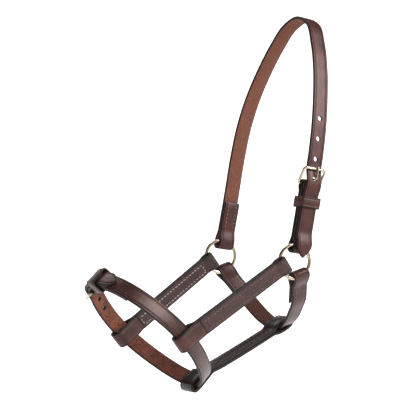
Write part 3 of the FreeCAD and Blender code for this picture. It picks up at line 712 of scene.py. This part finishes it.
bar_fold = [(chape_top - 12, LAYER), (chape_top - 9, LAYER), (chape_top - 2, bar_round)]
bar_fold += around((chape_top, 0), bar_round, 90, -90, 6)
bar_fold += [(chape_top - 2, -bar_round), (chape_top - 9, -LAYER), (chape_top - 12, -LAYER)]
chape_path = [(43.7, -LAYER), (40, -LAYER)] + ring_eye() + [(36, LAYER), (48, LAYER)]
chape_path += [(chape_top - 18, LAYER)] + bar_fold
chape_path += [(chape_top - 18, -LAYER), (50, -LAYER), (46, -LAYER), (43.8, -LAYER)]
chape = strap("chape_leather", CHAPE.line(chape_path), CROWN_ACROSS, (0, 1, 0), PLAIN_LEATHERS)
slot_corners = [CHAPE.at(x, y) for x, y in ((chape_top - 4, -7), (chape_top + 8, -7), (chape_top + 8, 7),
                                            (chape_top - 4, 7))]
carve(chape, [slab(slot_corners, CROWN_ACROSS, 3.0)])
in_leather(chape, "havana_leather", "chape_strap")
chape_thread = stitches("chape_stitches", straight_rows(
    CHAPE.at(29, 0), CHAPE.at(chape_top - 28, 0), CROWN_ACROSS, (0, -1, 0), DARK, PALE))
in_leather(chape_thread, "stitching", "chape_thread")

# ---- cheekpieces ----

NOSE_LONG, NOSE_WIDE, NOSE_POWER = 81, 53, 2 / 1.84
NEAR_CHEEK_ANGLE, FAR_CHEEK_ANGLE = -93.5, 100
NEAR_CHEEK_SHIFT, FAR_CHEEK_SHIFT = 4.2, 4.0
CHEEK_SKEW = math.radians(12)
CHEEK_REACH = 11.6


def nose_point(degrees, out=0.0):
    """A flat point on the noseband: 0 is the front, -90 the near side and 180 the chin, and out is
    measured outwards."""
    angle = math.radians(degrees)

    def on_curve(a):
        c, s = math.cos(a), math.sin(a)
        return Vector((math.copysign(abs(c) ** NOSE_POWER, c) * NOSE_LONG,
                       math.copysign(abs(s) ** NOSE_POWER, s) * NOSE_WIDE, 0))

    slope = (on_curve(angle + 0.001) - on_curve(angle - 0.001)).normalized()
    point = on_curve(angle) + Vector((slope.y, -slope.x, 0)) * out
    return point.x, point.y


def cheek(name, ring, degrees, shift):
    """A doubled strap from a ring down to its butt line, and a wrap round the noseband below it."""
    end = NOSE.at(*nose_point(degrees))
    across = Vector((0, 0, 0))
    for _ in range(3):
        place = Frame(ring, end - across * shift - ring, (0, math.copysign(1, degrees), 0))
        square = place.along.cross(place.side)
        square = square if square.z > 0 else -square
        across = (square * math.cos(CHEEK_SKEW) + place.along * math.sin(CHEEK_SKEW)).normalized()
    length = (end - across * shift - ring).length
    run = NOSE.at(*nose_point(degrees + 2)) - NOSE.at(*nose_point(degrees - 2))
    line = run.cross(NOSE_ACROSS).cross(square)
    slope = line.dot(place.side) / line.dot(place.along)
    place.origin = ring + across * shift
    gap = LEATHER / 2 + 1.3
    butt = length - CHEEK_REACH - 10
    doubled = [(butt, -LAYER), (butt - 4, -LAYER), (RING_EYE_END + 30, -LAYER)] + ring_eye() + [
        (RING_EYE_END + 30, LAYER), (butt - 4, LAYER), (butt, LAYER)]
    body = strap(name + "_leather", place.line(doubled), across, -place.side, DOUBLED_LEATHERS)
    out = gap + LEATHER / 2
    lift = slope * (CHEEK_REACH - gap)
    turn_x = length + CHEEK_REACH - gap
    wrap = [(butt + 0.5, LAYER), (butt + 3.5, LAYER + 0.2),
            (length - CHEEK_REACH + 1.5, out - slope * CHEEK_REACH), (length, out)]
    wrap += around((turn_x, lift), out, 90, -90, 6)
    wrap += [(length, -out), (length - CHEEK_REACH + 1.5, -out - slope * CHEEK_REACH),
             (butt + 3.5, -LAYER - 0.2), (butt + 0.5, -LAYER)]
    loop = strap(name + "_loop", place.line(wrap), across, place.side, PLAIN_LEATHERS)
    in_leather(body, "havana_leather", name)
    in_leather(loop, "havana_leather", name)
    thread = stitches(name + "_stitches", straight_rows(
        place.at(RING_EYE_END + 12, 0), place.at(butt - 2.5, 0), across, place.side,
        DARK, PALE, (True, True)))
    in_leather(thread, "stitching", name + "_thread")


cheek("near_cheek", NEAR_RING, NEAR_CHEEK_ANGLE, NEAR_CHEEK_SHIFT)
cheek("far_cheek", FAR_RING, FAR_CHEEK_ANGLE, FAR_CHEEK_SHIFT)

# ---- noseband ----

NOSE_HOLE = 2.4
inner_layer = [(d, -3.5) for d in (-36, -27, -18, -9, 0, 7, 13)]
bar_turn = [(20, -4.4), (25, -5.4), (29, -4.9), (30.9, -1.7), (29, 1.5), (25, 2.0), (20, 1.0)]
CHIN_OUT = 3.5
main_layer = [(d, 0) for d in (13, 7, 0, -9, -18, -27, -36, -50, -65, -80, -95, -110, -125)]
main_layer += [(-140, 1), (-155, 2.6), (-170, CHIN_OUT)]
round_far = [(175, CHIN_OUT), (160, 2.6), (145, 1)] + [(d, 0) for d in (130, 115, 100, 86, 74, 64)]
billet = [(54, 0.2), (44, 0.8), (37, 3.4), (32, 5.6), (24, 6.0), (15, 4.5), (8, 3.8), (0, 3.8),
          (-9, 3.8), (-19, 4.2)]
stations = inner_layer + bar_turn + main_layer + round_far + billet
nose = strap("noseband_leather", NOSE.line([nose_point(*s) for s in stations]), NOSE_ACROSS,
             -NOSE.along, NOSE_LEATHERS, tip=9, thins=((0, 0.6), (7, 1)))
cuts = []
for degrees, out, depth in ((33, 5.0, 8), (51.5, 0.5, 9), (64.5, 0, 9)):
    inner, outer = NOSE.at(*nose_point(degrees, out - 5)), NOSE.at(*nose_point(degrees, out + 5))
    cuts.append(drill((inner + outer) / 2, outer - inner, NOSE_HOLE, depth=depth))
slot_stations = ((21, -7.5), (33.5, -7.5), (33.5, 2), (31.5, 3.8), (27, 4.0), (21, 3.9))
cuts.append(slab([NOSE.at(*nose_point(*s)) for s in slot_stations], NOSE_ACROSS, 3.0))
carve(nose, cuts)
in_leather(nose, "havana_leather", "noseband")

nose_seam = smooth([NOSE.at(*nose_point(d, -LAYER)) for d in (-33, -26, -19, -12, -5)])


def nose_outward(point):
    """The outward direction of the noseband's face near a point."""
    flat = Vector(((point - NOSE.origin).dot(NOSE.along), (point - NOSE.origin).dot(NOSE.side), 0))
    best = min(range(-60, 61), key=lambda d: (Vector((*nose_point(d), 0)) - flat).length)
    ahead, behind = NOSE.at(*nose_point(best + 1)), NOSE.at(*nose_point(best - 1))
    normal = (ahead - behind).cross(NOSE_ACROSS).normalized()
    return normal if normal.dot(NOSE.along) > 0 else -normal


nose_rows = []
for place in (-ROW, ROW):
    for way, index in ((1, BROWN), (-1, PALE)):
        run = [p + NOSE_ACROSS * place + nose_outward(p) * way * SEAM_LIFT for p in nose_seam]
        nose_rows.append((run, lambda p, way=way: nose_outward(p) * way, PITCH, index))
nose_thread = stitches("noseband_stitches", nose_rows)
in_leather(nose_thread, "stitching", "noseband_thread")

# ---- throat strap ----

half_span = (NEAR_SIDE + FAR_SIDE) / 2
throat_bend = BEND_GAP + 1 + EYE + LEATHER
THROAT_LEG = 55.0


def swung(points, centre, degrees):
    """Flat points turned about the lowest wire of a ring."""
    angle = math.radians(degrees)
    low = RING_RADIUS
    return [(centre + (x - centre) * math.cos(angle) + (y - low) * math.sin(angle),
             low + (y - low) * math.cos(angle) - (x - centre) * math.sin(angle)) for x, y in points]


def throat_leg(centre):
    """The doubled end of the throat strap, round a ring's wire."""
    return ring_turn(centre, throat_bend, (centre + LAYER, THROAT_LEG), (centre - LAYER, THROAT_LEG))


NEAR_LEAN, FAR_LEAN = 28.0, -28.0
THROAT_SHIFT = THROAT_ACROSS * -1.5
throat_path = swung(throat_leg(-half_span), -half_span, NEAR_LEAN) + [
    (-32.5, 62.5), (-23.5, 72.5), (-14.5, 80.5), (-6, 85.6), (4, 87), (14, 85.6), (22, 80.5), (29.5, 71.5),
    (35.5, 61.5),
] + swung(throat_leg(half_span), half_span, FAR_LEAN)
throat = strap("throat_leather", THROAT.line(throat_path, THROAT_SHIFT), THROAT_ACROSS, (0, 1, 0),
               THROAT_LEATHERS, thins=((0, 0.6), (6, 1)))
in_leather(throat, "havana_leather", "throat_strap")


def throat_seam(name, centre, degrees):
    """Rows through the doubled end of the throat strap, and a cross row where it stops."""
    seam_ends = swung([(centre, 32), (centre, THROAT_LEG - 2)], centre, degrees)
    top, low = [THROAT.at(*p) + THROAT_SHIFT for p in seam_ends]
    outward = (low - top).cross(THROAT_ACROSS).normalized()
    outward = outward if outward.y * centre > 0 else -outward
    thread = stitches(name + "_stitches", straight_rows(
        top, low, THROAT_ACROSS, outward, DARK, DARK, (False, True)))
    in_leather(thread, "stitching", name + "_thread")


throat_seam("near_throat", -half_span, NEAR_LEAN)
throat_seam("far_throat", half_span, FAR_LEAN)

# ---- back-stay ----

JAW_REACH = 10.8
chin = NOSE.at(*nose_point(180, CHIN_OUT))
jaw = THROAT.at(4, 87) + THROAT_SHIFT
stay_line = Vector((jaw.x, chin.y, jaw.z)) - chin
STAY = Frame(chin, stay_line, (0, 0, 1))
stay_length = stay_line.length
stay_gap = 3.1
stay_out = stay_gap + LEATHER / 2
chin_slope = NOSE_ACROSS.dot(STAY.side) / NOSE_ACROSS.dot(STAY.along)
chin_front = (-9.3, 0.6 - 9 * chin_slope)
chin_back = (8.7, 0.6 + 9 * chin_slope)
jaw_x, jaw_rise = stay_length - JAW_REACH, 0.8
lean = math.degrees(math.atan(chin_slope))
stay_path = [(chin_back[0], chin_back[1] + stay_out)]
stay_path += around(chin_front, stay_out, 90 + lean, 270 + lean, 8)
stay_run = [(20, 3.4), (27, 2.6), (34, 2.0), (42, 1.6), (60, 1.0), (80, 0.5), (jaw_x - 22, 0.1),
            (jaw_x - 14, 0), (jaw_x - 9, 0)]
stay_path += [(chin_back[0], chin_back[1] - stay_out)] + [(x, y - LAYER) for x, y in stay_run]
stay_path += [(jaw_x, jaw_rise - stay_out)]
stay_path += around((stay_length + JAW_REACH - stay_gap, jaw_rise), stay_out, -90, 90, 8)
stay_path += [(jaw_x, jaw_rise + stay_out)] + [(x, y + LAYER) for x, y in stay_run[::-1]]
stay_path += [(chin_back[0] + 3.5, chin_back[1] + stay_out - 1.2)]
stay = strap("back_stay_leather", STAY.line(stay_path), (0, 1, 0), (0, 0, 1), DARK_LEATHERS)
in_leather(stay, "black_leather", "back_stay")
stay_thread = stitches("back_stay_stitches", straight_rows(
    STAY.at(36, 1.9), STAY.at(jaw_x - 12, 0), Vector((0, 1, 0)), STAY.side, DARK, DARK))
in_leather(stay_thread, "stitching", "back_stay_thread")

# ---- keepers ----

KEEPER_HALF = 6.0
KEEPER_WALL = 1.0
NOSE_KEEPER_INSIDE, NOSE_KEEPER_OUTSIDE = -6.5, 6.9


def keeper(name, centre, across, outward, run, inner, outer, lean_out=0.0):
    """A narrow leather loop with rounded corners round the layers of a strap."""
    half = HALF + 2 * CLEAR + KEEPER_WALL
    low, high = inner - KEEPER_WALL, outer + KEEPER_WALL
    corner = 1.9
    spots = []
    for cx, cy, start in ((half - corner, high - corner, 0), (-half + corner, high - corner, 90),
                          (-half + corner, low + corner, 180), (half - corner, low + corner, 270)):
        spots += around((cx, cy), corner, start, start + 90, 5)
    middle = (half, (low + high) / 2)
    spots = [(0.4, low)] + spots[-6:] + [middle] + spots[:18] + [(-0.4, low)]
    route = [centre + across * (x + lean_out * y) + outward * y for x, y in spots]
    piece = strap(name + "_leather", route, run, -outward, PLAIN_LEATHERS, half=KEEPER_HALF,
                  thick=KEEPER_WALL, step=0.7, smoothed=False)
    in_leather(piece, "havana_leather", name)


crown_side_out = Vector((0, -1, 0))
crown_side_out = (crown_side_out + CROWN_ACROSS * CROWN_ACROSS.y).normalized()
keeper("crown_keeper", CROWN.at(near_y, PIVOT_LEVEL - 20), CROWN_ACROSS, crown_side_out, CROWN.side,
       -LEATHER - CLEAR, near_y - OVER_CHAPE + LEATHER / 2 + CLEAR, -CROWN_ACROSS.y)
here, ahead = NOSE.at(*nose_point(6)), NOSE.at(*nose_point(9))
nose_run = (ahead - here).normalized()
flat_out = nose_run.cross(NOSE.along.cross(NOSE.side)).normalized()
flat_out = flat_out if flat_out.dot(NOSE.along) > 0 else -flat_out
nose_out = (flat_out - NOSE_ACROSS * flat_out.dot(NOSE_ACROSS)).normalized()
keeper("noseband_keeper", here, NOSE_ACROSS, nose_out, nose_run, NOSE_KEEPER_INSIDE, NOSE_KEEPER_OUTSIDE,
       NOSE_ACROSS.dot(flat_out))


# ---- metal ----

BUCKLE_WIRE = 1.5
TONGUE_EYE_WIRE = 0.64
FRONT_BAR_SLIDE = 1.4


def ring(name, centre):
    bm = bmesh.new()
    side = Vector((0, 0, 1))
    front = RING_AXIS.cross(side).normalized()
    points = [centre + (front * math.cos(a) + side * math.sin(a)) * RING_RADIUS
              for a in [2 * math.pi * k / 120 for k in range(120)]]
    tube(bm, points, RING_WIRE + 0.1, sides=24, closed=True, flatten=RING_AXIS)
    piece = finish_mesh(name + "_brass", bm, (BRASS,))
    in_metal(piece, name, name)


ring("near_ring", NEAR_RING)
ring("far_ring", FAR_RING)


def buckle(name, pivot, front, across, slide=0.0):
    """A wire frame with rounded corners and a collar near each end of its front bar. slide moves the
    front bar sideways."""
    pivot, front = Vector(pivot), Vector(front) - across * slide
    way = front - pivot
    span, long_axis = way.length, way.normalized()
    reach, corner = 13.5, 2.6
    spots = []
    for cx, cy, start in ((reach - corner, span - corner, 0), (-reach + corner, span - corner, 90),
                          (-reach + corner, corner, 180), (reach - corner, corner, 270)):
        spots += around((cx, cy), corner, start, start + 90, 6)
    points, _ = resample([pivot + across * x + long_axis * y for x, y in spots + spots[:1]], 0.9)
    bm = bmesh.new()
    tube(bm, points[:-1], BUCKLE_WIRE, sides=16, closed=True, flatten=across.cross(long_axis))
    for place in (-1, 1):
        collar = [front + across * (place * x) for x in (9.8, 10.3, 11.2, 11.9, 12.2)]
        tube(bm, collar, lambda s: 1.6 + 0.5 * math.sin(math.pi * s), sides=16)
    piece = finish_mesh(name + "_brass", bm, (BRASS,))
    in_metal(piece, name, name)


def tongue_taper(share):
    """The tongue's radius along its length: even, then thinner, with a blunt end."""
    return 1.1 - 0.35 * max(0.0, (share - 0.55) / 0.45) ** 2 - (0.4 if share > 0.985 else 0)


def tongue(name, pivot, path, across):
    """A wire tongue, wrapped round the bar and drawn out to a blunt point."""
    bm = bmesh.new()
    first = Vector(path[0]) - Vector(pivot)
    first = (first - across * first.dot(across)).normalized()
    second = across.cross(first)
    radius = 1.55 + 0.65
    eye = [Vector(pivot) + (first * math.cos(a) + second * math.sin(a)) * radius
           for a in [2 * math.pi * k / 32 for k in range(32)]]
    for place in (-0.95, 0.95):
        tube(bm, [p + across * place for p in eye], TONGUE_EYE_WIRE, sides=12, closed=True)
    tube(bm, eye, TONGUE_EYE_WIRE, sides=12, closed=True)
    run, _ = resample(smooth(path), 0.6)
    tube(bm, run, tongue_taper)
    piece = finish_mesh(name + "_brass", bm, (BRASS,))
    in_metal(piece, name, name)


front_side = UNDER_BAR - LEATHER / 2 - 2 * CLEAR - BAR
crown_pivot = CROWN.at(near_y, PIVOT_LEVEL)
buckle("crown_buckle", crown_pivot, CROWN.at(front_side, FRONT_LEVEL), CROWN_ACROSS,
       FRONT_BAR_SLIDE)
over_bar = front_side - BAR - 1.2
tongue("crown_tongue", crown_pivot, CROWN.line([
    (near_y - 2.0, PIVOT_LEVEL + 1.6), (OVER_FOLD + 3.0, TONGUE_LEVEL - 0.7),
    (OVER_FOLD - 2.4, TONGUE_LEVEL + 0.5), (over_bar, TONGUE_LEVEL + 5), (over_bar, FRONT_LEVEL + 3)]),
    CROWN_ACROSS)
nose_pivot = NOSE.at(*nose_point(27, -1.7))
buckle("noseband_buckle", nose_pivot, NOSE.at(*nose_point(44, 4.6)), NOSE_ACROSS)
tongue("noseband_tongue", nose_pivot, NOSE.line([
    nose_point(29.0, 0.4), nose_point(32.4, 3.2), nose_point(33.2, 7.7), nose_point(38, 8.1),
    nose_point(46.5, 8.0)]), NOSE_ACROSS)


# ---- stage: a pale floor that rises into a low wall, soft lights and the camera ----

FLOOR = -0.56
AWAY_X, AWAY_Y = 0.669, 0.743


def stage_bowl():
    """A wide pale floor that curves up all round, so no view sees an edge. It has its own light, which
    grows in the direction that the photo's camera looks, from 0.10 in front to 1.0 behind."""
    bm = bmesh.new()
    profile = [(1.6, 0.0), (2.3, 0.04), (2.8, 0.25), (3.05, 0.7), (3.15, 1.3)]
    sides = 64
    rows = []
    for radius, rise in profile:
        rows.append([bm.verts.new((radius * math.cos(a), radius * math.sin(a), FLOOR + rise))
                     for a in [2 * math.pi * k / sides for k in range(sides)]])
    bm.faces.new(rows[0])
    for a, b in zip(rows, rows[1:]):
        for j in range(sides):
            bm.faces.new((a[j], a[(j + 1) % sides], b[(j + 1) % sides], b[j]))
    n = Nodes("pale_floor")
    place = n.add("ShaderNodeSeparateXYZ", {0: n.add("ShaderNodeTexCoord").outputs["Object"]})
    behind = n.math("ADD", n.math("MULTIPLY", place.outputs[1], AWAY_Y),
                    n.math("MULTIPLY", place.outputs[0], AWAY_X))
    n.plug(Base_Color=(0.80, 0.80, 0.80, 1), Roughness=0.9)
    n.plug(Emission_Color=(1, 1, 1, 1), Emission_Strength=n.range(behind, -1.2, 0.9, 0.10, 1.0))
    floor = finish_mesh("floor", bm, (n.material,), sharp=80)


stage_bowl()
TARGET = Vector((-0.12987, 0.02645, -0.20174))
AZIMUTH, ELEVATION = math.radians(-42), math.radians(1)
CAMERA_DISTANCE = 1.3
BACK = Vector((math.sin(AZIMUTH) * math.cos(ELEVATION), -math.cos(AZIMUTH) * math.cos(ELEVATION),
               math.sin(ELEVATION)))


def softbox(name, direction, distance, size, energy, glossy=True):
    data = bpy.data.lights.new(name, "AREA")
    data.shape = "SQUARE"
    data.size = size
    data.energy = energy
    light = bpy.data.objects.new(name, data)
    bpy.context.scene.collection.objects.link(light)
    light.visible_glossy = glossy
    light.location = TARGET + Vector(direction).normalized() * distance
    light.rotation_euler = Vector(direction).to_track_quat("Z", "Y").to_euler()


softbox("key", (0.35, -0.87, 0.58), distance=1.6, size=0.8, energy=26)
softbox("top", (0.1, 0.6, 1.3), distance=1.7, size=1.0, energy=12)
softbox("front", (-0.95, -0.55, 0.75), distance=1.7, size=0.6, energy=14, glossy=False)

world = bpy.data.worlds.new("studio")
bpy.context.scene.world = world
world.use_nodes = True
background = world.node_tree.nodes["Background"]
background.inputs["Color"].default_value = (1, 1, 1, 1)
background.inputs["Strength"].default_value = 0.12

camera_data = bpy.data.cameras.new("camera")
camera_data.sensor_width = 36
camera_data.lens = 108.8
camera_data.clip_start = 0.05
camera = bpy.data.objects.new("camera", camera_data)
bpy.context.scene.collection.objects.link(camera)
camera.location = TARGET + BACK * CAMERA_DISTANCE
camera.rotation_euler = BACK.to_track_quat("Z", "Y").to_euler()
bpy.context.scene.camera = camera
bpy.context.scene.view_settings.view_transform = "Standard"
